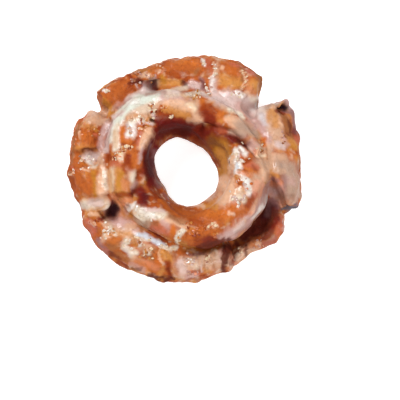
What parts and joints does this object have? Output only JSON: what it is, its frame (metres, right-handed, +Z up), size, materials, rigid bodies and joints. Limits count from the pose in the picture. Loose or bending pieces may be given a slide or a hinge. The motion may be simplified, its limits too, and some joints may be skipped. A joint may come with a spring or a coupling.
{
  "type": "sour cream doughnut",
  "caption": "Glazed old-fashioned ring doughnut: a round crown beside the hole, a cracked ring outside it and torn petals of dough round the edge.",
  "frame": {"origin": "middle of the outline seen from above, on the flat underside that it rests on", "axes": "+Z up through the hole, +X along the longest width, towards the right of the picture, +Y towards its top"},
  "size_m": [0.091, 0.0886, 0.0319],
  "materials": {
    "crust": "fried orange-brown crust with a thin glaze, satin to glossy"
  },
  "bodies": {
    "root": {"doughnut": "crust"}
  },
  "joints": []
}
